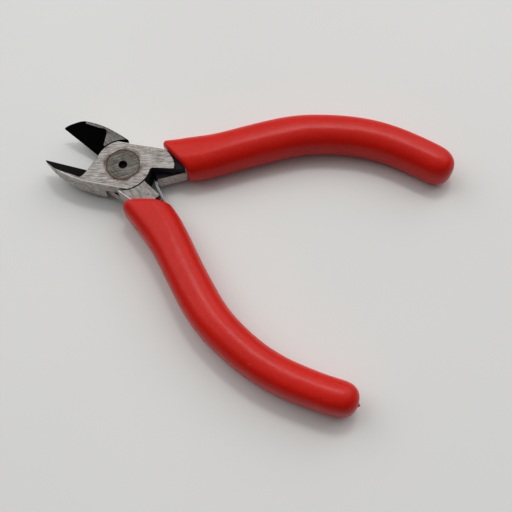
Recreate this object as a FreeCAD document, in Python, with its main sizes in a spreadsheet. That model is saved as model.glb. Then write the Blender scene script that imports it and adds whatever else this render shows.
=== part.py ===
import FreeCAD, Part
import math, os
from FreeCAD import Vector as V, Placement, Rotation

# Flush cutter, 120 mm class: two lap-jointed halves on one countersunk rivet, a leaf spring and two moulded grips.
# Frame: origin on the pivot axis at the flat underside of the joint, +X towards the handles along the line that
# halves the open jaws, +Z up through the joint. Drawn open. Front half: jaw on -Y, handle on +Y. Rear half mirrored.

doc = FreeCAD.newDocument("cutter")
sheet = doc.addObject("Spreadsheet::Sheet", "sizes")
SIZES = [
    ("head_thick", 8.0, "joint thickness, both laps together"),
    ("lap_thick", 3.97, "thickness of one lap"),
    ("disc_radius", 8.1, "radius of each half's round joint disc"),
    ("shoulder_radius", 8.4, "radius of the shoulder that clears the other disc"),
    ("tang_thick", 6.0, "thickness of the tangs inside the grips"),
    ("tang_low", 1.0, "height of the tang's underside"),
    ("heel_thick", 4.6, "height of the ground spring heel on the front half"),
    ("shank_radius", 2.9, "rivet shank"),
    ("rivet_radius", 4.9, "countersunk rivet heads"),
    ("head_rim", 0.55, "straight rim of a rivet head"),
    ("rivet_cone", 1.6, "height of the countersink cone"),
    ("fit_front", 0.01, "gap of the rivet in the front half"),
    ("fit_rear", 0.04, "running gap of the rivet in the rear half"),
    ("dimple_radius", 1.25, "centre hole left in the rivet head"),
    ("dimple_deep", 1.3, "depth of the centre hole"),
    ("leaf_thick", 0.7, "leaf spring thickness"),
    ("leaf_wide", 3.0, "leaf spring width"),
    ("leaf_low", 0.7, "height of the leaf's lower edge"),
    ("open_half", 13.7, "angle of each cutting edge from the middle line, open"),
    ("edge_reach", 24.3, "tip of the cutting edge from the pivot"),
    ("edge_start", 9.0, "distance from the pivot at which the edge height is given"),
    ("edge_low", 0.3, "height of the cutting edge at its inner end"),
    ("tip_height", 3.75, "height of the cutting edge at its tip"),
    ("bevel_rise", 1.197, "rise of the long bevel per mm across"),
    ("relief_rise", 0.02, "rise of the underside relief per mm across"),
    ("grip_half", 5.7, "half of the grip's thickness"),
    ("grip_corner", 4.9, "largest corner radius of the grip's section"),
    ("crest_lean", 0.35, "how much squarer the grip's outer side is than its inner side"),
    ("front_fuller", 0.2, "how much fuller the front grip is on its inner side"),
    ("cavity_gap", 0.06, "gap between tang and grip"),
    ("handle_back", 0.12, "how much nearer to the joint both handles' middle lines lie than drawn"),
    ("handle_side", 0.15, "how much both handles' middle lines lie to -Y of the drawn ones"),
    ("rear_splay", 0.40, "how much further out the rear handle stands than the front one"),
    ("gate_radius", 0.38, "radius of the gate mark on the rear grip's end"),
    ("gate_proud", 0.65, "how far the gate mark stands out, from 88 mm"),
    ("rest_flat", 0.02, "depth of the flat band along the grip's underside and top"),
    ("lip_round", 1.2, "rounding of the rear grip's mouth"),
    ("lip_round_front", 1.0, "rounding of the front grip's mouth"),
    ("edge_break", 0.25, "chamfer along the jaws' outer top edges"),
    ("handle_break", 0.2, "chamfer along the handles' outer top edges at the joint"),
]
sheet.set("A1", "name")
sheet.set("B1", "value")
sheet.set("C1", "meaning")
for i, (name, value, text) in enumerate(SIZES):
    r = str(i + 2)
    sheet.set("A" + r, name)
    sheet.set("B" + r, repr(value))
    sheet.set("C" + r, text)
    sheet.setAlias("B" + r, name)
doc.recompute()
S = {name: float(sheet.get(name)) for name, _, _ in SIZES}


# ---------------------------------------------------------------- helpers
def body(name):
    b = doc.addObject("PartDesign::Body", name)
    b.Label = name
    b.Placement = Placement()
    return b


def plane(b, role):
    return [f for f in b.Origin.OriginFeatures if f.Role == role][0]


def sketch(b, name, role="XY_Plane", place=None):
    sk = b.newObject("Sketcher::SketchObject", name)
    sk.AttachmentSupport = [(plane(b, role), "")]
    sk.MapMode = "FlatFace"
    doc.recompute()
    if place is not None:
        sk.AttachmentOffset = sk.Placement.inverse().multiply(place)
        doc.recompute()
    return sk


def outline(sk, parts):
    """Draws one closed loop: each part is a list of points. Two points make a line, more make a smooth curve."""
    ids = []
    for pts in parts:
        vs = [V(p[0], p[1], 0) for p in pts]
        if len(vs) == 2:
            ids.append(sk.addGeometry(Part.LineSegment(vs[0], vs[1]), False))
        else:
            c = Part.BSplineCurve()
            c.interpolate(vs)
            ids.append(sk.addGeometry(c, False))
    return ids


def polygon(sk, pts):
    return outline(sk, [[pts[i], pts[(i + 1) % len(pts)]] for i in range(len(pts))])


def raised(z, turn=0.0):
    return Placement(V(0, 0, z), Rotation(V(0, 0, 1), turn))


def pad(b, sk, name, expr, base=None):
    f = b.newObject("PartDesign::Pad", name)
    f.Profile = sk
    f.setExpression("Length", expr)
    sk.Visibility = False
    doc.recompute()
    return f


def pocket(b, sk, name, expr, up=False):
    before = b.Shape.Volume
    f = b.newObject("PartDesign::Pocket", name)
    f.Profile = sk
    f.setExpression("Length", expr)
    f.Reversed = up
    sk.Visibility = False
    doc.recompute()
    if not b.Shape.Volume < before - 1e-6:
        raise RuntimeError(name + " removes nothing")
    return f


def circle(sk, cx, cy, expr, radius):
    g = sk.addGeometry(Part.Circle(V(cx, cy, 0), V(0, 0, 1), radius), False)
    import Sketcher

    c = sk.addConstraint(Sketcher.Constraint("Radius", g, radius))
    sk.setExpression("Constraints[%d]" % c, expr)
    sk.addConstraint(Sketcher.Constraint("Coincident", g, 3, -1, 1))
    return g


def flip(pts, s):
    return [(p[0], s * p[1]) for p in pts]


# ---------------------------------------------------------------- plan geometry shared by both halves
# Every list is written for the front half (jaw on -Y, handle on +Y); s = -1 mirrors it for the rear half.
A_OPEN = math.radians(S["open_half"])
UX, UY = -math.cos(A_OPEN), -math.sin(A_OPEN)  # along the cutting edge, pivot to tip
VX, VY = math.sin(A_OPEN), -math.cos(A_OPEN)  # across it, towards the jaw's back
DISC = S["disc_radius"]
RISE = (S["tip_height"] - S["edge_low"]) / (S["edge_reach"] - S["edge_start"])


def uv(u, v, z=None):
    x, y = u * UX + v * VX, u * UY + v * VY
    return (x, y) if z is None else V(x, y, z)


TIP = uv(S["edge_reach"], 0.0)
BACK = [
    (TIP[0] + 0.12, TIP[1] - 0.34),
    (-22.5, -6.74),
    (-21.0, -7.45),
    (-19.1, -8.25),
    (-17.2, -8.82),
    (-15.2, -9.2),
    (-12.8, -9.42),
    (-10.0, -9.36),
    (-7.0, -9.0),
    (-4.0, -8.44),
    (-1.0, -7.79),
    (2.0, -7.14),
    (4.78, -6.54),
]
LINE_IN = BACK[-1]  # where the straight back line runs into the disc
HANDLE_TOP = [(-1.2, 7.3), (8.6, 9.53)]
# middle line of the grips
MID = [
    (4.0, 4.7),
    (8.0, 6.6),
    (12.0, 8.65),
    (16.0, 10.95),
    (20.0, 13.5),
    (24.0, 16.5),
    (28.0, 19.75),
    (32.0, 23.05),
    (36.0, 26.2),
    (40.0, 29.15),
    (44.0, 31.65),
    (48.0, 33.6),
    (52.0, 35.1),
    (56.0, 36.45),
    (60.0, 37.45),
    (64.0, 38.1),
    (68.0, 38.4),
    (72.0, 38.4),
    (76.0, 38.2),
    (80.0, 37.85),
    (84.0, 37.4),
    (88.0, 36.9),
]
mid_curve = Part.BSplineCurve()
mid_curve.interpolate([V(x, y, 0) for x, y in MID])


def mid_at(x, s=1):
    """Point and direction of a handle's middle line; the rear handle (s = -1) splays a little more."""
    lo, hi = mid_curve.FirstParameter, mid_curve.LastParameter
    for _ in range(60):
        m = (lo + hi) / 2
        if mid_curve.value(m).x < x:
            lo = m
        else:
            hi = m
    p, t = mid_curve.value(lo), mid_curve.tangent(lo)[0]
    a = math.atan2(t.y, t.x)
    p = V(p.x - S["handle_back"], p.y - s * S["handle_side"], 0)
    if s < 0:
        k = min(max((x - 12.0) / 28.0, 0.0), 1.0)
        d = S["rear_splay"] * k * k * (3 - 2 * k)
        p = V(p.x - math.sin(a) * d, p.y + math.cos(a) * d, 0)
        a += math.atan(S["rear_splay"] * 6 * k * (1 - k) / 28.0)
    return p, a


def beside(x, off, s=1):
    p, a = mid_at(x, s)
    return (p.x - math.sin(a) * off, p.y + math.cos(a) * off)


def wall_y(x):
    """The ground inner wall, where the heel and the leaf's root lie."""
    return 0.84 + 0.8036 * (x - 10.3)


def tang(s, gap=0.0):
    """Tang plan: outer edge, end, inner edge."""
    outer = [
        (9.4, 9.62 + gap),
        (12.4, 11.35 + gap),
        (15.4, 13.5 + gap),
        beside(21.0, 3.05 + gap, s),
        beside(28.0, 3.0 + gap, s),
        beside(36.0, 2.95 + gap, s),
        beside(44.0, 2.9 + gap, s),
        beside(52.0, 2.8 + gap, s),
        beside(60.0, 2.6 + gap, s),
        beside(66.0 + gap, 2.3 + gap, s),
    ]
    inner = [
        beside(66.0 + gap, -2.3 - gap, s),
        beside(60.0, -2.6 - gap, s),
        beside(52.0, -2.8 - gap, s),
        beside(44.0, -2.9 - gap, s),
        beside(36.0, -2.95 - gap, s),
        beside(29.0, -3.05 - gap, s),
        (25.4, wall_y(25.4) - gap * 1.25),
    ]
    return outer, inner


def break_edges(b, name, test, expr):
    """Chamfers the edges that pass the test."""
    names = []
    base = b.Tip
    for i, e in enumerate(b.Shape.Edges):
        c = e.CenterOfMass
        if test(e, c):
            names.append("Edge%d" % (i + 1))
    if not names:
        raise RuntimeError(name + ": no edge found")
    f = b.newObject("PartDesign::Chamfer", name)
    f.Base = (base, names)
    f.setExpression("Size", expr)
    doc.recompute()
    return f


def half(name, s):
    """One forged half. s = +1: front half, disc in the upper lap; s = -1: rear half, disc in the lower lap."""
    b = body(name)
    front = s > 0
    # --- head: jaw, disc and the start of the handle, full thickness
    sk = sketch(b, name + "_head_plan")
    a0 = math.radians(180.0) + A_OPEN
    p_throat = uv(DISC, 0.0)
    arc_in = (DISC * math.cos(math.radians(127.2)), DISC * math.sin(math.radians(127.2)))
    line_top0 = (-4.897, 6.452)
    inner0 = (8.2, 2.35)
    flat_end = [(14.2, 4.55), (13.7, 6.1), (12.5, 7.5), (11.0, 8.55), (9.2, 9.67)]
    parts = [
        flip([p_throat, TIP], s),
        flip([TIP, BACK[0]], s),
        flip(BACK, s),
    ]
    for p in parts:
        outline(sk, [p])

    def arc(a, c, r=DISC):
        """Arc about the pivot from angle a to c in degrees, counter-clockwise before mirroring."""
        if s > 0:
            g = Part.ArcOfCircle(Part.Circle(V(0, 0, 0), V(0, 0, 1), r), math.radians(a), math.radians(c))
        else:
            g = Part.ArcOfCircle(Part.Circle(V(0, 0, 0), V(0, 0, 1), r), math.radians(-c), math.radians(-a))
        sk.addGeometry(g, False)

    ang_line = math.degrees(math.atan2(LINE_IN[1], LINE_IN[0]))
    r_line = math.hypot(*LINE_IN)
    arc(ang_line, 12.0, r_line)
    p_in = (r_line * math.cos(math.radians(12.0)), r_line * math.sin(math.radians(12.0)))
    outline(sk, [flip([p_in, inner0], s)])
    outline(sk, [flip([inner0, flat_end[0]], s)])
    outline(sk, [flip(flat_end, s)])
    a_top = 127.2
    p_top = (r_line * math.cos(math.radians(a_top)), r_line * math.sin(math.radians(a_top)))
    outline(sk, [flip([flat_end[-1], p_top], s)])
    arc(a_top, math.degrees(a0), r_line)
    p_end = (r_line * math.cos(a0), r_line * math.sin(a0))
    outline(sk, [flip([p_end, p_throat], s)]) if math.dist(p_end, p_throat) > 1e-6 else None
    pad(b, sk, name + "_head", "sizes.head_thick")
    top = S["head_thick"]
    break_edges(
        b,
        name + "_break",
        lambda e, c: abs(c.z - top) < 1e-4 and c.y * s < -6.9 and c.x < 3.0 and e.Length > 12.0,
        "sizes.edge_break",
    )
    break_edges(
        b,
        name + "_handle_break",
        lambda e, c: abs(c.z - top) < 1e-4 and c.y * s > 7.5 and e.Length > 10.0,
        "sizes.handle_break",
    )

    # --- tang
    sk = sketch(b, name + "_tang_plan", place=raised(S["tang_low"]))
    outer, inner = tang(s)
    lead = (17.0, wall_y(17.0)) if front else (18.6, wall_y(18.6))
    root = [(7.6, 9.2), outer[0]]
    back = [(13.2, 4.35), (6.9, 4.4), (7.6, 9.2)]
    outline(
        sk,
        [
            flip(root, s),
            flip(outer, s),
            flip([outer[-1], inner[0]], s),
            flip(inner, s),
            flip([inner[-1], lead], s),
            flip([lead, back[0]], s),
            flip([back[0], back[1]], s),
            flip([back[1], back[2]], s),
        ],
    )
    pad(b, sk, name + "_tang", "sizes.tang_thick")

    # --- lap: the other half's disc and its sweep are cut out of this half's opposite lap
    if front:
        sk = sketch(b, name + "_lap_plan", place=raised(-1.0))
        circle(sk, 0, 0, "sizes.shoulder_radius", S["shoulder_radius"])
        pocket(b, sk, name + "_lap", "1 + sizes.head_thick - sizes.lap_thick", up=True)
    else:
        sk = sketch(b, name + "_lap_plan", place=raised(S["head_thick"] + 1.0))
        circle(sk, 0, 0, "sizes.shoulder_radius", S["shoulder_radius"])
        pocket(b, sk, name + "_lap", "1 + sizes.head_thick - sizes.lap_thick")

    # --- long bevel down to the cutting edge; its inner end is an upright slanted wall with a rounded corner
    rise = S["bevel_rise"]

    def on_bevel(u, v):
        return uv(u, v, S["edge_low"] + RISE * (u - S["edge_start"]) + rise * v)

    o = on_bevel(S["edge_start"], 0.0)
    ex = (on_bevel(S["edge_reach"], 0.0) - o).normalize()
    e2 = on_bevel(S["edge_start"], 5.0) - o
    ey = (e2 - ex * e2.dot(ex)).normalize()
    if not front:
        o, ex, ey = [V(q.x, -q.y, q.z) for q in (o, ex, ey)]
    n = ex.cross(ey)
    m = FreeCAD.Matrix(ex.x, ey.x, n.x, o.x, ex.y, ey.y, n.y, o.y, ex.z, ey.z, n.z, o.z, 0, 0, 0, 1)
    place = Placement(m)
    tool = body(name + "_bevel_tool")
    sk = sketch(tool, name + "_bevel_plan", place=raised(-1.0))
    ring = [(8.4, -1.6), (8.6, 0.0), (8.97, 0.95)] if front else [(7.2, -1.6), (7.2, 1.42), (8.85, 1.46), (9.05, 1.7)]
    ring += [
        (10.05, 3.76),
        (10.75, 5.0),
        (11.05, 5.42),
        (11.45, 5.72),
        (11.95, 5.9),
    ]
    if front:
        ring += [(12.6, 6.05), (14.0, 6.3)]
    else:  # a narrow land is left along the jaw's back, ending short of the tip
        ring += [(12.4, 5.84), (13.1, 5.5), (14.0, 5.1), (16.0, 4.5), (17.7, 3.98), (18.0, 3.98), (18.25, 4.2), (18.45, 5.6)]
    ring += [(32.0, 6.3), (32.0, -1.6)]
    polygon(sk, flip([uv(u, v) for u, v in ring], s))
    pad(tool, sk, name + "_bevel_block", "sizes.head_thick + 2")
    sk = sketch(tool, name + "_bevel_plane", place=place)
    polygon(sk, [(-30.0, -40.0), (40.0, -40.0), (40.0, 40.0), (-30.0, 40.0)])
    pocket(tool, sk, name + "_bevel_floor", "sizes.head_thick * 8", up=(n.z < 0))
    before = b.Shape.Volume
    f = b.newObject("PartDesign::Boolean", name + "_bevel")
    f.Type = "Cut"
    f.setObjects([tool])
    doc.recompute()
    if not b.Shape.Volume < before - 1.0:
        raise RuntimeError(name + ": the bevel removes nothing")

    # --- underside relief, rising towards the tip and the jaw's back
    def on_relief(u, v):
        return uv(u, v, S["edge_low"] + RISE * (u - S["edge_start"]) + S["relief_rise"] * v)

    o = on_relief(S["edge_start"], 0.0)
    ex = (on_relief(S["edge_reach"], 0.0) - o).normalize()
    e2 = on_relief(S["edge_start"], 5.0) - o
    ey = (e2 - ex * e2.dot(ex)).normalize()
    if not front:
        o, ex, ey = [V(q.x, -q.y, q.z) for q in (o, ex, ey)]
    n = ex.cross(ey)
    m = FreeCAD.Matrix(ex.x, ey.x, n.x, o.x, ex.y, ey.y, n.y, o.y, ex.z, ey.z, n.z, o.z, 0, 0, 0, 1)
    place = Placement(m)
    sk = sketch(b, name + "_relief_plan", place=place)
    inv = place.inverse()
    ring = []
    for u, v in ((0.0, -3.0), (0.0, 12.0), (32.0, 12.0), (32.0, -3.0)):
        q = on_relief(u, v)
        if not front:
            q = V(q.x, -q.y, q.z)
        q = inv.multVec(q)
        ring.append((q.x, q.y))
    polygon(sk, ring)
    pocket(b, sk, name + "_relief", "sizes.head_thick", up=(n.z < 0))

    # --- spring heel on the front half, spring recess on the rear half
    if front:
        sk = sketch(b, name + "_heel_plan")
        polygon(
            sk,
            [
                (8.45, 2.2),
                (10.3, wall_y(10.3)),
                (17.0, wall_y(17.0)),
                (15.2, 7.2),
                (9.2, 4.4),
            ],
        )
        pad(b, sk, name + "_heel", "sizes.heel_thick")
    else:
        sk = sketch(b, name + "_recess_plan", place=raised(-1.0))
        polygon(
            sk,
            flip(
                [
                    (7.75, 2.9),
                    (7.3, 4.15),
                    (9.3, 5.45),
                    (12.0, 6.0),
                    (14.5, 6.75),
                    (17.0, 7.55),
                    (19.4, 8.45),
                    (21.0, 7.0),
                    (17.0, 0.5),
                    (9.0, 0.5),
                    (8.6, 2.9),
                ],
                s,
            ),
        )
        pocket(b, sk, name + "_recess", "1 + sizes.heel_thick + 0.3", up=True)

    # --- rivet hole, countersunk from the outside of this half
    gap = "fit_front" if front else "fit_rear"
    sk = sketch(b, name + "_bore_plan", place=raised(-1.0))
    circle(sk, 0, 0, "sizes.shank_radius + sizes." + gap, S["shank_radius"] + S[gap])
    pocket(b, sk, name + "_bore", "sizes.head_thick + 2", up=True)
    g = S[gap]
    sk = sketch(b, name + "_sink_plan", role="XZ_Plane")
    r1, r2 = S["shank_radius"] + g - 0.4, S["rivet_radius"] + g
    h1, h2 = S["head_rim"] + g, S["head_rim"] + S["rivet_cone"] + g
    slope = (r2 - S["shank_radius"] - g) / S["rivet_cone"]
    tip = h2 + 0.4 / slope
    pts = [(0.0, -0.5), (r2, -0.5), (r2, h1), (r1, tip), (0.0, tip)]
    if front:
        pts = [(x, S["head_thick"] - z) for x, z in pts]
    polygon(sk, pts)
    cut = b.newObject("PartDesign::Groove", name + "_sink")
    cut.Profile = sk
    cut.ReferenceAxis = (sk, ["V_Axis"])
    cut.Angle = 360.0
    sk.Visibility = False
    doc.recompute()
    return b


front_half = half("front_half", 1)
rear_half = half("rear_half", -1)


# ---------------------------------------------------------------- rivet
rivet = body("pivot_rivet")
sk = sketch(rivet, "rivet_profile", role="XZ_Plane")
R0, R1, RIM, CONE, H = S["shank_radius"], S["rivet_radius"], S["head_rim"], S["rivet_cone"], S["head_thick"]
polygon(
    sk,
    [
        (0.0, 0.0),
        (R1 - 0.12, 0.0),
        (R1, 0.12),
        (R1, RIM),
        (R0, RIM + CONE),
        (R0, H - RIM - CONE),
        (R1, H - RIM),
        (R1, H - 0.12),
        (R1 - 0.12, H),
        (0.0, H),
    ],
)
f = rivet.newObject("PartDesign::Revolution", "rivet_turned")
f.Profile = sk
f.ReferenceAxis = (sk, ["V_Axis"])
f.Angle = 360.0
sk.Visibility = False
doc.recompute()
sk = sketch(rivet, "rivet_dimple_plan", place=raised(S["head_thick"] + 0.5))
circle(sk, 0, 0, "sizes.dimple_radius", S["dimple_radius"])
pocket(rivet, sk, "rivet_dimple", "sizes.dimple_deep + 0.5")

# ---------------------------------------------------------------- leaf spring
leaf = body("leaf_spring")
sk = sketch(leaf, "leaf_plan", place=raised(S["leaf_low"]))
T = S["leaf_thick"]
DX, DY = 0.7795, -0.6264  # along the leaf, tip to root
NX, NY = 0.6264, 0.7795  # across it, towards the front handle


def on_leaf(along, across):
    return (10.28 + DX * along + NX * across, -0.31 + DY * along + NY * across)


upper = [on_leaf(18.6, T / 2), on_leaf(1.4, T / 2)]
curl_up = [upper[1], on_leaf(0.6, T / 2 + 0.05), on_leaf(-0.1, T / 2 + 0.2), on_leaf(-0.65, T / 2 + 0.45)]
tip_end = [curl_up[-1], on_leaf(-0.98, T / 2 + 0.28), on_leaf(-1.03, -T / 2 + 0.62)]
curl_low = [tip_end[-1], on_leaf(-0.45, -T / 2 + 0.24), on_leaf(0.3, -T / 2 + 0.05), on_leaf(1.4, -T / 2)]
lower = [curl_low[-1], on_leaf(18.6, -T / 2)]
outline(sk, [upper, curl_up, tip_end, curl_low, lower, [lower[-1], upper[0]]])
pad(leaf, sk, "leaf_strip", "sizes.leaf_wide")


# ---------------------------------------------------------------- grips
def grip(name, s):
    b = body(name)
    # station, half of the width, corner radius: a nearly round back with a soft crest along the middle
    R = S["grip_corner"]
    half_widths = [
        (4.4, 5.75, R - 1.1),
        (9.0, 5.9, R - 0.7),
        (13.5, 6.0, R - 0.4),
        (18.0, 5.95, R - 0.1),
        (23.0, 5.65, R),
        (29.0, 5.45, R),
        (36.0, 5.45, R),
        (43.0, 5.3, R),
        (50.0, 5.07, R - 0.1),
        (57.0, 4.92, R - 0.3),
        (64.0, 4.82, R - 0.4),
        (72.0, 4.74, R - 0.45),
        (79.0, 4.68, R - 0.5),
    ]
    if s > 0:
        half_widths = [(x, a + (S["front_fuller"] if x > 15 else -0.1), r) for x, a, r in half_widths]
    B = S["grip_half"]
    zc = S["head_thick"] / 2
    sections = []

    def section(x, a, b_half, r, shift=0.0, i=0):
        p, ang = mid_at(x, s)
        e = min(max((x - 66.0) / 16.0, 0.0), 1.0)
        drop = 0.22 * e * e * (3 - 2 * e) * s + (S["front_fuller"] if s > 0 else 0)
        p = V(p.x + math.cos(ang) * shift, p.y + math.sin(ang) * shift - drop, 0)
        ang *= s
        base = Placement(V(p.x, s * p.y, zc), Rotation(V(0, 0, 1), math.degrees(ang)))
        turn = Placement(V(0, 0, 0), Rotation(V(0, 1, 0), V(0, 0, 1), V(1, 0, 0), "XYZ"))
        sk = sketch(b, "%s_section_%02d" % (name, i), role="YZ_Plane", place=base.multiply(turn))
        k = math.sqrt(0.5)
        g = []
        # the outer side (local +x on the front grip) is a little squarer than the inner side
        lean = min(S["crest_lean"], (a - r - 0.05) if a - r > 0.1 else 0.0, (b_half - r - 0.05) if b_half - r > 0.1 else 0.0)
        rp, rm = (r - 2 * lean, r + lean) if s > 0 else (r + lean, r - 2 * lean)
        radii = [rp, rm, rm, rp]
        signs = [(1, 1), (-1, 1), (-1, -1), (1, -1)]
        c = [(sx * (a - rr), sy * (b_half - rr)) for (sx, sy), rr in zip(signs, radii)]
        for q in range(4):
            cx, cy = c[q]
            rr = radii[q]
            g.append(
                Part.ArcOfCircle(
                    Part.Circle(V(cx, cy, 0), V(0, 0, 1), rr), math.radians(90 * q), math.radians(90 * q + 90)
                )
            )
            nx_, ny_ = c[(q + 1) % 4]
            rn = radii[(q + 1) % 4]
            co, si = math.cos(math.radians(90 * q + 90)), math.sin(math.radians(90 * q + 90))
            g.append(Part.LineSegment(V(cx + rr * co, cy + rr * si, 0), V(nx_ + rn * co, ny_ + rn * si, 0)))
        sk.addGeometry(g, False)
        sk.Visibility = False
        sections.append(sk)

    i = 0
    for x, a, r in half_widths:
        section(x, a, B, r, i=i)
        i += 1
    x_end, a_end, r_end = (84.1, 4.66, R - 0.5) if s > 0 else (83.7, 4.5, R - 0.62)
    section(x_end, a_end, B, r_end, i=i)
    last = i

    def loft(name_, first, rest):
        f = b.newObject("PartDesign::AdditiveLoft", name_)
        f.Profile = first
        f.Sections = rest
        f.Ruled = False
        f.Closed = False
        doc.recompute()

    loft(name + "_loft", sections[0], sections[1:])
    # the closed end, rounded over
    E = 4.35
    for th in (14.0, 28.0, 42.0, 55.0, 67.0, 78.0):
        t = math.radians(th)
        k = math.cos(t)
        i += 1
        a = max(a_end - E * (1 - k), 0.4)
        h = max(B - E * (1 - k), 1.0)
        section(x_end, a, h, min(r_end, a - 0.06), shift=E * math.sin(t), i=i)
    loft(name + "_end", sections[last], sections[last + 1 :])

    # gate mark left by the moulding on the rear grip's end
    if s < 0:
        turn = Placement(V(0, 0, 0), Rotation(V(0, 1, 0), V(0, 0, 1), V(1, 0, 0), "XYZ"))
        at = Placement(V(86.9, s * 38.0, zc), Rotation()).multiply(turn)
        sk = sketch(b, name + "_gate_plan", role="YZ_Plane", place=at)
        circle(sk, 0, 0, "sizes.gate_radius", S["gate_radius"])
        pad(b, sk, name + "_gate", "1 + sizes.gate_proud")

    # flat resting band along the underside and the top
    for low in (True, False):
        sk = sketch(b, name + ("_under_plan" if low else "_over_plan"), place=raised(-4.0 if low else 12.0))
        polygon(sk, [(-10.0, -60.0), (100.0, -60.0), (100.0, 60.0), (-10.0, 60.0)])
        pocket(b, sk, name + ("_under" if low else "_over"), "4 - sizes.grip_half + sizes.head_thick / 2 + sizes.rest_flat", up=low)

    # slanted mouth; the front sleeve sits a little further out on its tang
    slip = [1.6, 1.6, 1.6, 1.55, 1.5, 1.5, 1.45, 1.25, 1.1, 0.95, 0.9] if s > 0 else [0.3, 0.3, 0.2, 0.05, 0.0, 0.0, 0.1, 0.3, 0.3, 0.0, -0.2]
    mouth = [
        (4.6, 15.5),
        (5.0, 13.0),
        (5.5, 11.2),
        (6.6, 9.8),
        (8.4, 8.75),
        (10.6, 7.75),
        (13.4, 6.6),
        (16.0, 5.6),
        (17.7, 4.4),
        (18.5, 2.6),
        (18.9, 0.2),
    ]
    mouth = [(x + k * 0.85, y + k * 0.5) for (x, y), k in zip(mouth, slip)]
    sk = sketch(b, name + "_mouth_plan", place=raised(-5.0))
    outline(
        sk,
        [
            flip(mouth, s),
            flip([mouth[-1], (18.9, -4.0)], s),
            flip([(18.9, -4.0), (-3.0, -4.0)], s),
            flip([(-3.0, -4.0), (-3.0, 15.5)], s),
            flip([(-3.0, 15.5), mouth[0]], s),
        ],
    )
    pocket(b, sk, name + "_mouth", "20 mm", up=True)
    best = None
    for n_, fc in enumerate(b.Shape.Faces):
        u0, u1, v0, v1 = fc.ParameterRange
        c = fc.CenterOfMass
        nrm = fc.normalAt((u0 + u1) / 2, (v0 + v1) / 2)
        d = math.hypot(c.x - 12.0, c.y * s - 8.0)
        if abs(nrm.z) < 0.05 and (best is None or d < best[0]):
            best = (d, n_ + 1)
    if S["lip_round"] > 0:
        f = b.newObject("PartDesign::Fillet", name + "_lip")
        f.Base = (b.Tip if b.Tip.Name != f.Name else f.BaseFeature, ["Face%d" % best[1]])
        f.setExpression("Radius", "sizes.lip_round_front" if s > 0 else "sizes.lip_round")
        doc.recompute()

    # cavity: the half's own plan with a small gap all round
    g = S["cavity_gap"]
    sk = sketch(b, name + "_cavity_plan", place=raised(S["tang_low"] - g))
    outer, inner = tang(s, gap=g)
    outline(
        sk,
        [
            flip([(-1.0, 9.62 + g), outer[0]], s),
            flip(outer, s),
            flip([outer[-1], inner[0]], s),
            flip(inner, s),
            flip([inner[-1], (17.0, wall_y(17.0) - g * 1.3)], s),
            flip([(17.0, wall_y(17.0) - g * 1.3), (10.0, wall_y(10.0) - g * 1.3)], s),
            flip([(10.0, wall_y(10.0) - g * 1.3), (-1.0, 0.6)], s),
            flip([(-1.0, 0.6), (-1.0, 9.62 + g)], s),
        ],
    )
    pocket(b, sk, name + "_cavity", "sizes.tang_thick + 2 * sizes.cavity_gap", up=True)
    sk = sketch(b, name + "_throat_plan", place=raised(-g))
    outline(
        sk,
        [
            flip([(-1.0, 7.345 + g * 1.1), (9.2, 9.67 + g * 1.1)], s),
            flip([(9.2, 9.67 + g * 1.1), (9.9, 9.45 + g * 1.3)], s),
            flip([(9.9, 9.45 + g * 1.3), (11.15, 8.62 + g), (12.62, 7.57 + g), (13.8, 6.17 + g), (14.2 + g, 4.6 + g)], s),
            flip([(14.2 + g, 4.6 + g), (13.6, 1.0)], s),
            flip([(13.6, 1.0), (-1.0, 1.0)], s),
            flip([(-1.0, 1.0), (-1.0, 7.345 + g * 1.1)], s),
        ],
    )
    pocket(b, sk, name + "_throat", "sizes.head_thick + 2 * sizes.cavity_gap", up=True)
    if s > 0:
        sk = sketch(b, name + "_heel_room_plan", place=raised(-g))
        polygon(
            sk,
            [
                (8.0, 0.5),
                (10.3, wall_y(10.3) - g * 1.4),
                (17.0 + g, wall_y(17.0) - g * 1.4),
                (15.2 + g * 2, 7.2 + g),
                (9.2, 5.4),
            ],
        )
        pocket(b, sk, name + "_heel_room", "sizes.heel_thick + 2 * sizes.cavity_gap", up=True)
    else:
        sk = sketch(b, name + "_leaf_slot_plan", place=raised(S["leaf_low"] - g))
        h = S["leaf_thick"] / 2 + g
        polygon(sk, [on_leaf(3.0, h), on_leaf(18.6 + g, h), on_leaf(18.6 + g, -h - 0.6), on_leaf(3.0, -h - 0.6)])
        pocket(b, sk, name + "_leaf_slot", "sizes.leaf_wide + 2 * sizes.cavity_gap", up=True)
    return b


front_grip = grip("front_grip", 1)
rear_grip = grip("rear_grip", -1)

doc.recompute()
os.makedirs("parts", exist_ok=True)
for obj in doc.Objects:
    bad = [w for w in obj.State if w in ("Invalid", "Error")]
    if bad:
        raise RuntimeError("%s is %s" % (obj.Name, bad))
for b in (front_half, rear_half, rivet, leaf, front_grip, rear_grip):
    if b.Shape.isNull() or not b.Shape.isValid() or len(b.Shape.Solids) != 1:
        raise RuntimeError("%s: null, invalid or %d solids" % (b.Label, len(b.Shape.Solids)))
    b.Shape.exportStep("parts/%s.step" % b.Label)
    bb = b.Shape.BoundBox
    print(b.Label, "volume %.1f" % b.Shape.Volume, "x %.2f..%.2f y %.2f..%.2f z %.2f..%.2f" % (bb.XMin, bb.XMax, bb.YMin, bb.YMax, bb.ZMin, bb.ZMax))
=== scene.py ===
import math
import random

import bmesh
import bpy
import numpy as np
from mathutils import Matrix, Vector


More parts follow.
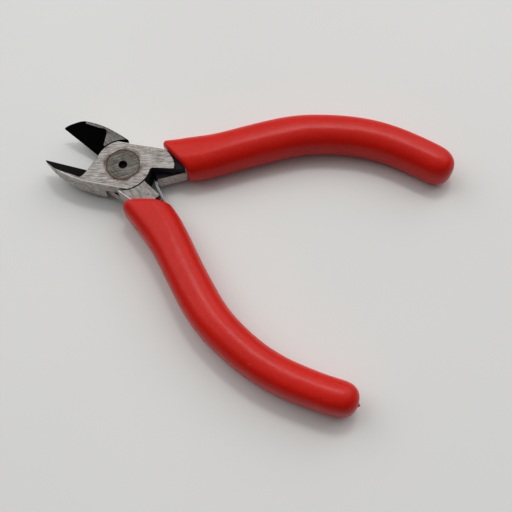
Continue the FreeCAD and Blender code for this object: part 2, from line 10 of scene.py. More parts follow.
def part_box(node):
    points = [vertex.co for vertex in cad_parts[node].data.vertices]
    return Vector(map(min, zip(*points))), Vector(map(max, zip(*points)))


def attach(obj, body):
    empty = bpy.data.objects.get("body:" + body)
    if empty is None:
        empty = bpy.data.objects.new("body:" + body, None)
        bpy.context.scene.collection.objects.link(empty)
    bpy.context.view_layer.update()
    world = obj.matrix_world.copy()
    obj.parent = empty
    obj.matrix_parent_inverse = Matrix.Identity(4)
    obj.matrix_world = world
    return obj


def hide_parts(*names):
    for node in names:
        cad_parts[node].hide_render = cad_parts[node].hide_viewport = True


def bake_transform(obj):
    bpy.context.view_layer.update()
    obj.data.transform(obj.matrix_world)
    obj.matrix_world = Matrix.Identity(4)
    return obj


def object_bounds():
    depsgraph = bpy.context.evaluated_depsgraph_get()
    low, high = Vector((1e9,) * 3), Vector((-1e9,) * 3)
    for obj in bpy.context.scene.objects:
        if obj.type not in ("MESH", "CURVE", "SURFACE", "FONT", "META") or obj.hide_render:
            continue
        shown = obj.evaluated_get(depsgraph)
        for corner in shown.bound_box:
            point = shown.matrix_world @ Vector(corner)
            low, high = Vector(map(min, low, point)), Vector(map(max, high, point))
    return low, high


random.seed(11)
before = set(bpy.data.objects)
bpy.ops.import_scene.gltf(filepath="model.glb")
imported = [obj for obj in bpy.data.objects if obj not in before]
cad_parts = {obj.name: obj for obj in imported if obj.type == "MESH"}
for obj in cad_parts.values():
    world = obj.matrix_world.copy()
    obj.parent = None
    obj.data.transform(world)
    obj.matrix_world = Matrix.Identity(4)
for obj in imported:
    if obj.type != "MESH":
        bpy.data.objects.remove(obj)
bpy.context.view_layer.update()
MM = 0.001


# ------------------------------------------------------------------ node helpers
class Nodes:
    """Short names for building one material's node tree."""

    def __init__(self, name):
        self.mat = bpy.data.materials.new(name)
        self.mat.use_nodes = True
        self.t = self.mat.node_tree
        self.t.nodes.clear()
        self.out = self.t.nodes.new("ShaderNodeOutputMaterial")
        self.bsdf = self.t.nodes.new("ShaderNodeBsdfPrincipled")
        self.link(self.bsdf.outputs[0], self.out.inputs["Surface"])
        self.obj = self.t.nodes.new("ShaderNodeTexCoord").outputs["Object"]

    def link(self, a, b):
        self.t.links.new(a, b)

    def put(self, socket, value):
        if hasattr(value, "is_output"):
            self.link(value, socket)
        else:
            socket.default_value = value

    def mapping(self, scale=(1, 1, 1), rot=(0, 0, 0), loc=(0, 0, 0), vec=None):
        m = self.t.nodes.new("ShaderNodeMapping")
        m.inputs["Scale"].default_value = scale
        m.inputs["Rotation"].default_value = rot
        m.inputs["Location"].default_value = loc
        self.link(vec or self.obj, m.inputs["Vector"])
        return m.outputs[0]

    def turned(self, angle, scale):
        """Coordinates for streaks that run at an angle about Z."""
        return self.mapping(scale=scale, vec=self.mapping(rot=(0, 0, -angle)))

    def noise(self, vec, scale, detail=4.0, rough=0.55, dist=0.0):
        n = self.t.nodes.new("ShaderNodeTexNoise")
        n.inputs["Scale"].default_value = scale
        n.inputs["Detail"].default_value = detail
        n.inputs["Roughness"].default_value = rough
        n.inputs["Distortion"].default_value = dist
        self.link(vec, n.inputs["Vector"])
        return n.outputs["Fac"]

    def voronoi(self, vec, scale, feature="F1", out="Distance", rnd=1.0):
        n = self.t.nodes.new("ShaderNodeTexVoronoi")
        n.feature = feature
        n.inputs["Scale"].default_value = scale
        n.inputs["Randomness"].default_value = rnd
        self.link(vec, n.inputs["Vector"])
        return n.outputs[out]

    def ramp(self, fac, stops, interp="LINEAR"):
        n = self.t.nodes.new("ShaderNodeValToRGB")
        n.color_ramp.interpolation = interp
        e = n.color_ramp.elements
        while len(e) < len(stops):
            e.new(0.5)
        for i, (p, c) in enumerate(stops):
            e[i].position = p
            e[i].color = (c, c, c, 1) if isinstance(c, (int, float)) else (*c, 1)
        self.link(fac, n.inputs["Fac"])
        return n.outputs["Color"]

    def math(self, op, a, b=None, c=None, clamp=False):
        n = self.t.nodes.new("ShaderNodeMath")
        n.operation = op
        n.use_clamp = clamp
        self.put(n.inputs[0], a)
        if b is not None:
            self.put(n.inputs[1], b)
        if c is not None:
            self.put(n.inputs[2], c)
        return n.outputs[0]

    def mix(self, fac, a, b, mode="MIX"):
        n = self.t.nodes.new("ShaderNodeMix")
        n.data_type = "RGBA"
        n.blend_type = mode
        n.clamp_factor = True
        self.put(n.inputs["Factor"], fac)
        ia, ib = [s for s in n.inputs if s.type == "RGBA"]
        self.put(ia, a if hasattr(a, "is_output") else (*a, 1))
        self.put(ib, b if hasattr(b, "is_output") else (*b, 1))
        return [s for s in n.outputs if s.type == "RGBA"][0]

    def span(self, v, a, b, lo=0.0, hi=1.0, smooth=True):
        n = self.t.nodes.new("ShaderNodeMapRange")
        n.interpolation_type = "SMOOTHSTEP" if smooth else "LINEAR"
        self.link(v, n.inputs["Value"])
        for k, x in (("From Min", a), ("From Max", b), ("To Min", lo), ("To Max", hi)):
            n.inputs[k].default_value = x
        return n.outputs[0]

    def xyz(self, vec=None):
        n = self.t.nodes.new("ShaderNodeSeparateXYZ")
        self.link(vec or self.obj, n.inputs[0])
        return n.outputs

    def bump(self, height, strength, distance, normal=None):
        n = self.t.nodes.new("ShaderNodeBump")
        n.inputs["Strength"].default_value = strength
        n.inputs["Distance"].default_value = distance
        self.link(height, n.inputs["Height"])
        if normal is not None:
            self.link(normal, n.inputs["Normal"])
        return n.outputs[0]

    def from_axis(self):
        """Distance from the pivot axis in metres."""
        x, y, _ = self.xyz()
        return self.math("SQRT", self.math("ADD", self.math("MULTIPLY", x, x), self.math("MULTIPLY", y, y)))


# ------------------------------------------------------------------ materials
RIVET_R = (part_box("pivot_rivet")[1].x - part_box("pivot_rivet")[0].x) / 2


def steel_lapped(name, tone=1.0, angle=0.0, jaw_tone=1.0):
    """Ground flats: draw-filed scratches, dark nicks, a brown bloom round the rivet."""
    n = Nodes(name)
    wide = n.noise(n.turned(angle, (260, 2300, 400)), 1.0, 5.0, 0.72, 0.7)
    thin = n.noise(n.turned(angle + 0.15, (420, 4200, 500)), 1.0, 4.0, 0.65, 0.5)
    cross = n.noise(n.turned(angle - 0.9, (320, 2900, 400)), 1.0, 3.0, 0.6, 0.5)
    cloud = n.noise(n.obj, 380.0, 5.0, 0.65)
    fine = n.math("MULTIPLY_ADD", thin, 0.35, n.math("MULTIPLY", wide, 0.65))
    lo, mid, hi = (0.150, 0.134, 0.122), (0.345, 0.318, 0.298), (0.58, 0.55, 0.525)
    lo, mid, hi = [tuple(c * tone for c in k) for k in (lo, mid, hi)]
    col = n.ramp(fine, [(0.37, lo), (0.5, mid), (0.62, hi)])
    nick = n.math("MULTIPLY", n.span(wide, 0.43, 0.35), n.span(cloud, 0.40, 0.58))
    col = n.mix(n.math("MULTIPLY", nick, 0.95), col, (0.050, 0.034, 0.028))
    curl = n.noise(n.turned(angle + 0.9, (500, 2100, 400)), 1.0, 3.0, 0.6, 2.2)
    where = n.span(n.noise(n.obj, 150.0, 2.0, 0.5), 0.46, 0.58)
    col = n.mix(n.math("MULTIPLY", n.math("MULTIPLY", n.span(curl, 0.42, 0.35), where), 0.85), col, (0.060, 0.036, 0.036))
    col = n.mix(n.span(cloud, 0.50, 0.70, 0.0, 0.40), col, (0.200 * tone, 0.160 * tone, 0.138 * tone))
    deep = n.math("MULTIPLY", n.span(cross, 0.62, 0.70), 0.45)
    col = n.mix(deep, col, (0.62 * tone, 0.60 * tone, 0.58 * tone))
    r = n.from_axis()
    wob = n.math("MULTIPLY_ADD", n.noise(n.obj, 700.0, 4.0, 0.65), 0.0018, n.math("SUBTRACT", r, 0.0009))
    ring = n.math("MULTIPLY", n.span(wob, RIVET_R - 0.0003, RIVET_R + 0.0001), n.span(wob, RIVET_R + 0.0013, RIVET_R + 0.0001))
    ring = n.math("MULTIPLY", ring, n.span(n.noise(n.obj, 300.0, 3.0, 0.7), 0.33, 0.54))
    col = n.mix(n.math("MULTIPLY", ring, 0.9), col, (0.070, 0.032, 0.022))
    if jaw_tone < 1.0:
        x, _, _ = n.xyz()
        dim = n.span(x, -0.006, 0.002, jaw_tone, 1.0)
        rgb = n.t.nodes.new("ShaderNodeCombineXYZ")
        for k in range(3):
            n.link(dim, rgb.inputs[k])
        col = n.mix(1.0, col, rgb.outputs[0], "MULTIPLY")
    n.link(col, n.bsdf.inputs["Base Color"])
    n.bsdf.inputs["Metallic"].default_value = 0.5
    n.link(n.ramp(fine, [(0.3, 0.62), (0.7, 0.44)]), n.bsdf.inputs["Roughness"])
    h = n.math("MULTIPLY_ADD", cross, 0.25, fine)
    n.link(n.bump(h, 0.6, 0.00009, n.bump(cloud, 0.15, 0.0002)), n.bsdf.inputs["Normal"])
    return n.mat


def steel_edge_wear_and_glint(name):
    """Rubbed-bright broken edges: bare steel from wear, given a near-white colour that also paints in the glint they
    catch.
    """
    n = Nodes(name)
    grain = n.noise(n.mapping(scale=(600, 1800, 1800)), 1.0, 4.0, 0.6)
    n.link(n.ramp(grain, [(0.3, (0.80, 0.79, 0.77)), (0.7, (0.95, 0.94, 0.93))]), n.bsdf.inputs["Base Color"])
    n.bsdf.inputs["Metallic"].default_value = 0.25
    n.link(n.ramp(grain, [(0.3, 0.40), (0.7, 0.28)]), n.bsdf.inputs["Roughness"])
    n.link(n.bump(grain, 0.2, 0.00004), n.bsdf.inputs["Normal"])
    return n.mat


def steel_ground(name, tone=1.0):
    """Belt-ground side faces: duller, fine grain across, faint mottling."""
    n = Nodes(name)
    grain = n.noise(n.mapping(scale=(700, 700, 5200)), 1.0, 4.0, 0.62, 0.2)
    speck = n.noise(n.obj, 2600.0, 3.0, 0.7)
    cloud = n.noise(n.obj, 330.0, 4.0, 0.6)
    f = n.math("MULTIPLY_ADD", grain, 0.6, n.math("MULTIPLY", speck, 0.4))
    col = n.ramp(f, [(0.36, (0.085 * tone, 0.078 * tone, 0.070 * tone)), (0.5, (0.205 * tone, 0.192 * tone, 0.178 * tone)), (0.62, (0.34 * tone, 0.325 * tone, 0.305 * tone))])
    col = n.mix(n.span(cloud, 0.5, 0.72, 0.0, 0.4), col, (0.105, 0.093, 0.082))
    n.link(col, n.bsdf.inputs["Base Color"])
    n.bsdf.inputs["Metallic"].default_value = 0.55
    n.link(n.ramp(f, [(0.3, 0.66), (0.7, 0.48)]), n.bsdf.inputs["Roughness"])
    n.link(n.bump(f, 0.4, 0.00007), n.bsdf.inputs["Normal"])
    return n.mat


def steel_black(name, painted_light_lift=1.0):
    """Oxide-blackened bevels, walls and tangs: nearly black, satin, small pale specks where it has rubbed. A lift above
    1 lightens the same black as painted light for shaded faces beyond the pivot, the heel recess among them.
    """
    n = Nodes(name)
    grain = n.noise(n.mapping(scale=(1500, 2300, 1700)), 1.0, 4.0, 0.6)
    cloud = n.noise(n.obj, 300.0, 4.0, 0.6)
    spots = n.span(n.voronoi(n.obj, 620.0), 0.13, 0.05)
    keep = n.span(n.noise(n.obj, 210.0, 2.0, 0.5), 0.55, 0.66)
    spots = n.math("MULTIPLY", spots, keep)
    col = n.ramp(grain, [(0.3, (0.0010 * painted_light_lift, 0.0010 * painted_light_lift, 0.0012 * painted_light_lift)), (0.7, (0.0030 * painted_light_lift, 0.0030 * painted_light_lift, 0.0036 * painted_light_lift))])
    col = n.mix(n.span(cloud, 0.5, 0.75, 0.0, 0.5), col, (0.0055 * painted_light_lift, 0.0053 * painted_light_lift, 0.0057 * painted_light_lift))
    col = n.mix(n.math("MULTIPLY", spots, 0.4), col, (0.045, 0.044, 0.047))
    n.link(col, n.bsdf.inputs["Base Color"])
    n.bsdf.inputs["Metallic"].default_value = 0.0
    n.bsdf.inputs["IOR"].default_value = 1.16 if painted_light_lift == 1.0 else 1.25
    n.bsdf.inputs["Specular IOR Level"].default_value = 0.12 if painted_light_lift == 1.0 else 0.35
    n.link(n.ramp(grain, [(0.3, 0.74), (0.7, 0.58)]), n.bsdf.inputs["Roughness"])
    n.link(n.bump(grain, 0.30, 0.00006), n.bsdf.inputs["Normal"])
    return n.mat


def steel_rivet(name):
    """The rivet's faced ends: turned rings under crossed scratches, stained at the rim, with painted shade in the
    centre hole.
    """
    n = Nodes(name)
    r = n.from_axis()
    rings = n.noise(n.mapping(scale=(1, 1, 1)), 1.0)
    comb = n.t.nodes.new("ShaderNodeCombineXYZ")
    n.link(n.math("MULTIPLY", r, 5200.0), comb.inputs[0])
    rings = n.noise(comb.outputs[0], 1.0, 3.0, 0.6)
    scr = n.noise(n.turned(0.75, (170, 1900, 400)), 1.0, 4.0, 0.65, 0.5)
    scr2 = n.noise(n.turned(-0.4, (200, 2300, 400)), 1.0, 3.0, 0.6, 0.4)
    cloud = n.noise(n.obj, 520.0, 4.0, 0.62)
    f = n.math("MULTIPLY_ADD", scr, 0.5, n.math("MULTIPLY_ADD", scr2, 0.2, n.math("MULTIPLY", rings, 0.3)))
    col = n.ramp(f, [(0.39, (0.027, 0.024, 0.020)), (0.5, (0.088, 0.080, 0.070)), (0.61, (0.190, 0.176, 0.158))])
    col = n.mix(n.span(cloud, 0.46, 0.68, 0.0, 0.6), col, (0.042, 0.034, 0.027))
    spots = n.math("MULTIPLY", n.span(n.noise(n.obj, 1500.0, 2.0, 0.5), 0.66, 0.72), 0.6)
    col = n.mix(spots, col, (0.06, 0.05, 0.045))
    wob = n.math("MULTIPLY_ADD", n.noise(n.obj, 800.0, 3.0, 0.6), 0.0008, n.math("SUBTRACT", r, 0.0004))
    rim = n.span(wob, RIVET_R - 0.00095, RIVET_R - 0.00015)
    rim = n.math("MULTIPLY", rim, n.span(n.noise(n.obj, 380.0, 3.0, 0.7), 0.34, 0.55, 0.35, 1.0))
    col = n.mix(n.math("MULTIPLY", rim, 0.85), col, (0.085, 0.045, 0.032))
    # the centre hole painted near-black with its sheen taken out: painted shade
    hole_shade = n.span(r, 0.00136, 0.00124)
    col = n.mix(hole_shade, col, (0.006, 0.0055, 0.006))
    n.link(col, n.bsdf.inputs["Base Color"])
    n.link(n.math("MULTIPLY_ADD", hole_shade, -0.55, 0.55), n.bsdf.inputs["Metallic"])
    n.link(n.math("MULTIPLY_ADD", hole_shade, -0.47, 0.5), n.bsdf.inputs["Specular IOR Level"])
    n.link(n.ramp(f, [(0.3, 0.62), (0.7, 0.42)]), n.bsdf.inputs["Roughness"])
    n.link(n.bump(f, 0.30, 0.00006), n.bsdf.inputs["Normal"])
    return n.mat


def steel_spring(name, tone=1.0):
    """Rolled spring strip with lengthways lines: at full tone the bright steel faces get a near-white colour as a
    painted reflection; at a low tone the narrow edges come out dark.
    """
    n = Nodes(name)
    grain = n.noise(n.mapping(scale=(500, 500, 7000), rot=(0, 0, 0.67)), 1.0, 4.0, 0.6)
    cloud = n.noise(n.obj, 500.0, 3.0, 0.6)
    col = n.ramp(grain, [(0.3, (0.86 * tone, 0.86 * tone, 0.85 * tone)), (0.7, (0.98 * tone, 0.975 * tone, 0.965 * tone))])
    col = n.mix(n.span(cloud, 0.56, 0.75, 0.0, 0.4), col, (0.62 * tone, 0.61 * tone, 0.59 * tone))
    n.link(col, n.bsdf.inputs["Base Color"])
    n.bsdf.inputs["Metallic"].default_value = 0.10
    n.bsdf.inputs["Specular IOR Level"].default_value = 0.9
    n.link(n.ramp(grain, [(0.3, 0.42), (0.7, 0.26)]), n.bsdf.inputs["Roughness"])
    n.link(n.bump(grain, 0.25, 0.00004), n.bsdf.inputs["Normal"])
    return n.mat


def pvc_red(name, seed):
    """Moulded grip: satin red PVC with an uneven, slightly pebbled skin, a faint parting line at mid height and light handling marks."""
    n = Nodes(name)
    x, y, z = n.xyz()
    skin = n.noise(n.mapping(scale=(1, 1, 1), loc=(seed, 0, 0)), 420.0, 4.0, 0.55)
    fine = n.noise(n.obj, 2800.0, 3.0, 0.6)
    broad = n.noise(n.mapping(loc=(0, seed, 0)), 55.0, 3.0, 0.5)
    col = n.ramp(broad, [(0.3, (0.540, 0.0088, 0.0040)), (0.7, (0.600, 0.0116, 0.0054))])
    col = n.mix(n.span(skin, 0.50, 0.78, 0.0, 0.28), col, (0.43, 0.0070, 0.0050))
    peel = n.noise(n.mapping(loc=(0, 0, seed)), 1500.0, 3.0, 0.7)
    col = n.mix(n.span(peel, 0.50, 0.66, 0.0, 0.32), col, (0.400, 0.0065, 0.0050))
    col = n.mix(n.span(peel, 0.44, 0.34, 0.0, 0.25), col, (0.70, 0.030, 0.016))
    marks = n.noise(n.mapping(scale=(420, 1700, 900), rot=(0, 0, 0.5)), 1.0, 4.0, 0.6, 0.4)
    rub = n.math("MULTIPLY", n.span(marks, 0.64, 0.74), n.span(n.noise(n.obj, 130.0, 2.0, 0.5), 0.5, 0.65))
    col = n.mix(n.math("MULTIPLY", rub, 0.22), col, (0.80, 0.17, 0.14))
    dirt = n.math("MULTIPLY", n.span(n.voronoi(n.mapping(loc=(seed, seed, 0)), 260.0), 0.06, 0.02), n.span(n.noise(n.obj, 90.0, 2.0), 0.55, 0.62))
    col = n.mix(n.math("MULTIPLY", dirt, 0.5), col, (0.12, 0.01, 0.01))
    n.link(col, n.bsdf.inputs["Base Color"])
    n.link(n.math("MULTIPLY_ADD", skin, 0.10, n.math("MULTIPLY_ADD", rub, 0.10, 0.25)), n.bsdf.inputs["Roughness"])
    n.bsdf.inputs["Specular IOR Level"].default_value = 0.19
    n.bsdf.inputs["Subsurface Weight"].default_value = 0.06
    n.bsdf.inputs["Subsurface Radius"].default_value = (0.0016, 0.0004, 0.0003)
    n.bsdf.inputs["Subsurface Scale"].default_value = 1.0
    wave = n.math("MULTIPLY_ADD", n.noise(n.obj, 160.0, 2.0, 0.5), 0.00025, n.math("SUBTRACT", z, 0.004 + 0.000125))
    seam = n.span(n.math("ABSOLUTE", wave), 0.00016, 0.00002)
    nrm = n.bump(skin, 0.22, 0.0003)
    nrm = n.bump(fine, 0.20, 0.00010, n.bump(peel, 0.18, 0.00014, nrm))
    nrm = n.bump(seam, 0.35, 0.00010, nrm)
    n.link(nrm, n.bsdf.inputs["Normal"])
    return n.mat


LAPPED = steel_lapped("steel_lapped", 0.80, 0.36)
LAPPED_REAR = steel_lapped("steel_lapped_rear", 0.58, -0.5, 0.66)
GROUND = steel_ground("steel_ground", 2.4)
BLACK = steel_black("steel_black")
# a lightened copy of the black oxide: painted light for the shaded faces beyond the pivot
BLACK_PAINTED_LIGHT = steel_black("steel_black_painted_light", 8.0)
# near-white edge colour: real wear plus a painted glint
EDGE_WEAR_GLINT = steel_edge_wear_and_glint("steel_edge_wear_and_glint")
RIVET = steel_rivet("steel_rivet")
# near-white face colour of the leaf: a painted reflection
SPRING_PAINTED_REFLECTION = steel_spring("steel_spring")
SPRING_EDGE = steel_spring("steel_spring_edge", 0.16)


# ------------------------------------------------------------------ meshes
def copy_mesh(node, name):
    """A new object with a copy of the CAD node's mesh, its materials cleared."""
    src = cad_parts[node]
    me = src.data.copy()
    me.name = name
    ob = bpy.data.objects.new(name, me)
    bpy.context.scene.collection.objects.link(ob)
    me.materials.clear()
    return ob


def weld(ob, flat=0.35):
    bm = bmesh.new()
    bm.from_mesh(ob.data)
    bmesh.ops.remove_doubles(bm, verts=bm.verts, dist=2e-6)
    bmesh.ops.dissolve_limit(bm, angle_limit=math.radians(flat), verts=bm.verts, edges=bm.edges, use_dissolve_boundaries=False)
    bmesh.ops.recalc_face_normals(bm, faces=bm.faces)
    bm.to_mesh(ob.data)
    bm.free()


def soften(ob, width, angle=24.0, segments=3):
    """Small rounded edges that catch the light, as on the worn original."""
    m = ob.modifiers.new("edges", "BEVEL")
    m.width = width
    m.segments = segments
    m.limit_method = "ANGLE"
    m.angle_limit = math.radians(angle)
    m.use_clamp_overlap = False
    m.miter_outer = "MITER_ARC"
    w = ob.modifiers.new("normals", "WEIGHTED_NORMAL")
    w.mode = "FACE_AREA"
    w.weight = 100
    w.keep_sharp = False


def strip_custom(ob):
    """Drops imported corner normals so that the smoothed ones take over."""
    for k in ("custom_normal",):
        a = ob.data.attributes.get(k)
        if a is not None:
            ob.data.attributes.remove(a)


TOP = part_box("front_half")[1].z
DISC = 0.0081


def half(node, side):
    """side +1: front half (jaw on -Y, handle on +Y); -1: rear half."""
    ob = copy_mesh(node, node + "_forged")
    strip_custom(ob)
    weld(ob)
    flat = LAPPED if side > 0 else LAPPED_REAR
    for m in (flat, GROUND, BLACK, EDGE_WEAR_GLINT, BLACK_PAINTED_LIGHT):
        ob.data.materials.append(m)
    for p in ob.data.polygons:
        c, nv = p.center, p.normal
        y = c.y * side
        r = math.hypot(c.x, c.y)
        kind = 2
        if nv.z > 0.98 and c.z > TOP - 1e-5:
            kind = 0
        elif nv.z < -0.98 and c.z < 1e-5:
            kind = 0
        elif abs(nv.z) < 0.02:
            out = nv.x * c.x + nv.y * c.y
            if y < -0.004 and c.x < 0.006 and nv.y * side < -0.2:
                kind = 1  # the jaw's outer side
            elif y > 0.006 and nv.y * side > 0.3 and 0.0 - 0.006 < c.x < 0.0145 and p.area > 1e-6:
                kind = 1  # the handle's outer side
            elif side > 0 and nv.y < -0.3 and abs(y - (0.00084 + 0.8036 * (c.x - 0.0103))) < 0.00012:
                kind = 1  # the heel's ground wall
            if r < DISC + 0.0004 and out < 0:
                kind = 2
        elif 0.3 < nv.z < 0.9 and abs(c.z - TOP) < 0.0003:
            kind = 3 if side > 0 or c.x > 0 else 2  # broken edges: rubbed bare and coloured near-white as a painted glint, or still dark
        # black faces beyond the pivot, the heel recess among them, take the lightened black as painted light
        if kind == 2 and c.x > 0.004:
            kind = 4
        p.material_index = kind
        p.use_smooth = True
    soften(ob, 0.00012)
    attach(ob, "front" if side > 0 else "rear")
    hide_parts(node)
    return ob


front_half = half("front_half", 1)
rear_half = half("rear_half", -1)

# ---- rivet
rivet = copy_mesh("pivot_rivet", "pivot_rivet_turned")
strip_custom(rivet)
weld(rivet)
rivet.data.materials.append(RIVET)
for p in rivet.data.polygons:
    p.use_smooth = True
soften(rivet, 0.00005, 30.0, 2)
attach(rivet, "front")
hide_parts("pivot_rivet")

# ---- leaf spring
leaf = copy_mesh("leaf_spring", "leaf_spring_strip")
strip_custom(leaf)
weld(leaf)
bm = bmesh.new()
bm.from_mesh(leaf.data)
lo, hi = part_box("leaf_spring")
AL = Vector((0.7795, -0.6264, 0.0))
TIP = Vector((0.01028, -0.00031, 0.0))
for k in range(1, 44):
    q = TIP + AL * (k * 0.00042 + 0.0004)
    bmesh.ops.bisect_plane(bm, geom=bm.verts[:] + bm.edges[:] + bm.faces[:], plane_co=q, plane_no=AL)
bm.to_mesh(leaf.data)
bm.free()
leaf.data.materials.append(SPRING_PAINTED_REFLECTION)
leaf.data.materials.append(SPRING_EDGE)
for p in leaf.data.polygons:
    p.use_smooth = True
    # the upright faces take the near-white colour, a painted reflection; the narrow top and bottom edges take the dark
    # one
    p.material_index = 1 if abs(p.normal.z) > 0.7 else 0
bev = leaf.modifiers.new("edges", "BEVEL")
bev.width = 0.00008
bev.segments = 3
bev.limit_method = "ANGLE"
bev.angle_limit = math.radians(35)
bev.use_clamp_overlap = False
dg = bpy.context.evaluated_depsgraph_get()
done = bpy.data.meshes.new_from_object(leaf.evaluated_get(dg))
leaf.modifiers.clear()
leaf.data = done
w = leaf.modifiers.new("normals", "WEIGHTED_NORMAL")
w.weight = 100
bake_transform(leaf)
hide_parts("leaf_spring")


# ---- grips: the CAD surface as an even, softly flowing skin
for node, body, seed in (("front_grip", "front", 0.013), ("rear_grip", "rear", 0.131)):
    ob = copy_mesh(node, node + "_moulded")
    strip_custom(ob)
    bm = bmesh.new()
    bm.from_mesh(ob.data)
    bmesh.ops.remove_doubles(bm, verts=bm.verts, dist=3e-6)
    bm.to_mesh(ob.data)
    bm.free()
    r = ob.modifiers.new("skin", "REMESH")
    r.mode = "VOXEL"
    r.voxel_size = 0.00026
    r.use_smooth_shade = True
    sm = ob.modifiers.new("flow", "SMOOTH")
    sm.factor = 0.5
    sm.iterations = 9
    dg = bpy.context.evaluated_depsgraph_get()
    done = bpy.data.meshes.new_from_object(ob.evaluated_get(dg))
    ob.modifiers.clear()
    ob.data = done
    # a second, wider flow everywhere but at the gate mark on the rear grip's end
    g = ob.vertex_groups.new(name="flow")
    gate = Vector((0.0874, -0.038, 0.004))
    near, rest = [], []
    for v in ob.data.vertices:
        (near if body == "rear" and (v.co - gate).length < 0.0019 else rest).append(v.index)
    g.add(rest, 1.0, "REPLACE")
    if near:
        g.add(near, 0.0, "REPLACE")
    sm = ob.modifiers.new("flow2", "SMOOTH")
    sm.factor = 0.5
    sm.iterations = 22
    sm.vertex_group = "flow"
    dg = bpy.context.evaluated_depsgraph_get()
    done = bpy.data.meshes.new_from_object(ob.evaluated_get(dg))
    ob.modifiers.clear()
    ob.vertex_groups.clear()
    ob.data = done
    # a third, broad flow rounds the crest over away from the mouth, and a slight swell gives back the width it takes
    me = ob.data
    count = len(me.vertices)
    co, no = np.empty(count * 3), np.empty(count * 3)
    me.vertices.foreach_get("co", co)
    me.vertex_normals.foreach_get("vector", no)
    co, no = co.reshape(-1, 3), no.reshape(-1, 3)
    lo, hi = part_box(node)
    step = (hi.x - lo.x) / 60
    slot = ((co[:, 0] - lo.x) / step).astype(int).clip(0, 59)
    mean = np.bincount(slot, co[:, 1], 60) / np.maximum(np.bincount(slot, minlength=60), 1)
    mid = np.interp(co[:, 0], lo.x + (np.arange(60) + 0.5) * step, mean)
    outer = no[:, 1] * (co[:, 1] - mid) + no[:, 2] * (co[:, 2] - 0.004) > 0
    ease = lambda t: np.clip(t, 0, 1) ** 2 * (3 - 2 * np.clip(t, 0, 1))
    wide = ease((co[:, 0] - lo.x - 0.008) / 0.012) * outer
    if body == "rear":
        wide *= ease((np.linalg.norm(co - np.array(gate), axis=1) - 0.0016) / 0.003)
    g = ob.vertex_groups.new(name="wide")
    level = np.round(wide * 20).astype(int)
    for k in range(21):
        idx = np.nonzero(level == k)[0].tolist()
        if idx:
            g.add(idx, k / 20, "REPLACE")
    sm = ob.modifiers.new("flow3", "SMOOTH")
    sm.factor = 0.5
    sm.iterations = 95
    sm.vertex_group = "wide"
    dg = bpy.context.evaluated_depsgraph_get()
    done = bpy.data.meshes.new_from_object(ob.evaluated_get(dg))
    ob.modifiers.clear()
    ob.vertex_groups.clear()
    ob.data = done
    me = ob.data
    me.vertices.foreach_get("co", co.reshape(-1))
    me.vertex_normals.foreach_get("vector", no.reshape(-1))
    co += no * (wide * 0.00020)[:, None]
    me.vertices.foreach_set("co", co.reshape(-1))
    me.update()
    ob.data.name = node + "_skin"
    ob.data.materials.clear()
    ob.data.materials.append(pvc_red("grip_pvc_" + body, seed))
    for p in ob.data.polygons:
        p.use_smooth = True
    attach(ob, body)
    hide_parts(node)

# ------------------------------------------------------------------ stage
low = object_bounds()[0].z
bpy.ops.mesh.primitive_plane_add(size=4.0, location=(0.03, 0.0, low - 0.00002))
floor = bpy.context.object
floor.name = "floor"
n = Nodes("floor_paper")
cloud = n.noise(n.obj, 6.0, 3.0, 0.5)
fine = n.noise(n.obj, 900.0, 3.0, 0.6)
n.link(n.ramp(cloud, [(0.3, (0.70, 0.70, 0.69)), (0.7, (0.73, 0.73, 0.72))]), n.bsdf.inputs["Base Color"])
n.link(n.ramp(fine, [(0.3, 0.55), (0.7, 0.65)]), n.bsdf.inputs["Roughness"])
n.bsdf.inputs["Specular IOR Level"].default_value = 0.2
n.link(n.bump(fine, 0.05, 0.0001), n.bsdf.inputs["Normal"])
floor.data.materials.append(n.mat)

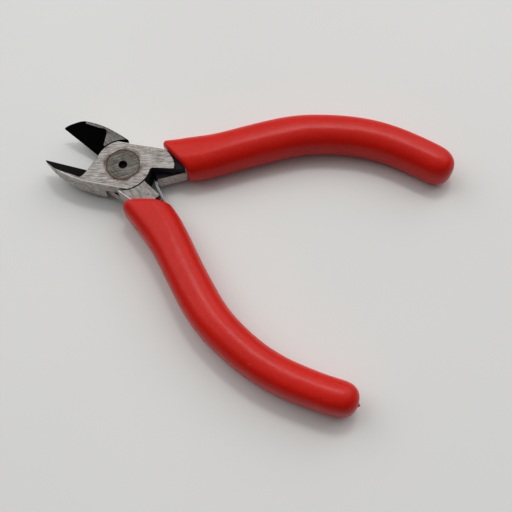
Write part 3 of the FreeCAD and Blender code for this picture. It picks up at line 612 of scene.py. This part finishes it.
# ------------------------------------------------------------------ camera
cam_data = bpy.data.cameras.new("camera")
cam = bpy.data.objects.new("camera", cam_data)
bpy.context.scene.collection.objects.link(cam)
RIGHT, UP, BACKWARD = (0.91585, 0.400447, -0.029354), (-0.359525, 0.850415, 0.384105), (0.178776, -0.341229, 0.922823)
eye = Vector((0.0893394, -0.0920529, 0.2260718))
PAN, TILT, ROLL = 0.5 / 856, 0.4 / 856, 0.001  # small trims of the aim, in radians
back = (Vector(BACKWARD) - PAN * Vector(RIGHT) - TILT * Vector(UP)).normalized()
right = (Vector(RIGHT) + ROLL * Vector(UP))
right = (right - back * right.dot(back)).normalized()
up = back.cross(right)
m = Matrix((right, up, back)).transposed().to_4x4()
m.translation = eye
cam.matrix_world = m
cam_data.sensor_width = 36.0
cam_data.lens = 60.18
cam_data.clip_start = 0.01
bpy.context.scene.camera = cam

# ------------------------------------------------------------------ light
world = bpy.data.worlds.new("studio")
bpy.context.scene.world = world
world.use_nodes = True
wt = world.node_tree
bg = wt.nodes["Background"]
co = wt.nodes.new("ShaderNodeTexCoord")
dot = wt.nodes.new("ShaderNodeVectorMath")
dot.operation = "DOT_PRODUCT"
dot.inputs[1].default_value = (-0.25, 0.55, 0.80)
wt.links.new(co.outputs["Generated"], dot.inputs[0])
ramp = wt.nodes.new("ShaderNodeValToRGB")
ramp.color_ramp.elements[0].position, ramp.color_ramp.elements[0].color = 0.0, (0.05, 0.051, 0.055, 1)
ramp.color_ramp.elements[1].position, ramp.color_ramp.elements[1].color = 1.0, (1.0, 1.0, 1.0, 1)
wt.links.new(dot.outputs["Value"], ramp.inputs["Fac"])
wt.links.new(ramp.outputs["Color"], bg.inputs["Color"])
bg.inputs["Strength"].default_value = 0.66

CENTRE = Vector((0.03, 0.0, 0.0))


def softbox(name, direction, distance, size, power, colour=(1, 1, 1)):
    d = bpy.data.lights.new(name, "AREA")
    d.shape = "RECTANGLE"
    d.size, d.size_y = size
    d.energy = power
    d.color = colour
    o = bpy.data.objects.new(name, d)
    bpy.context.scene.collection.objects.link(o)
    v = Vector(direction).normalized()
    o.location = CENTRE + v * distance
    o.rotation_euler = (-v).to_track_quat("-Z", "Y").to_euler()
    return o


# direction in camera terms: right, towards the viewer along the floor, up
R2 = Vector((RIGHT[0], RIGHT[1], 0)).normalized()
F2 = Vector((R2.y, -R2.x, 0))


def towards(right, front, up):
    return R2 * right + F2 * front + Vector((0, 0, up))


WARM = (1.0, 0.992, 0.972)
softbox("left", towards(-1.0, -0.60, 1.35), 1.2, (1.0, 1.0), 4.7, WARM)
softbox("right", towards(0.9, -0.80, 1.25), 1.2, (1.0, 1.0), 4.4, WARM)
softbox("over", towards(0.12, -0.40, 1.0), 0.8, (0.16, 0.10), 1.0, WARM)

bpy.context.scene.view_settings.view_transform = "Standard"
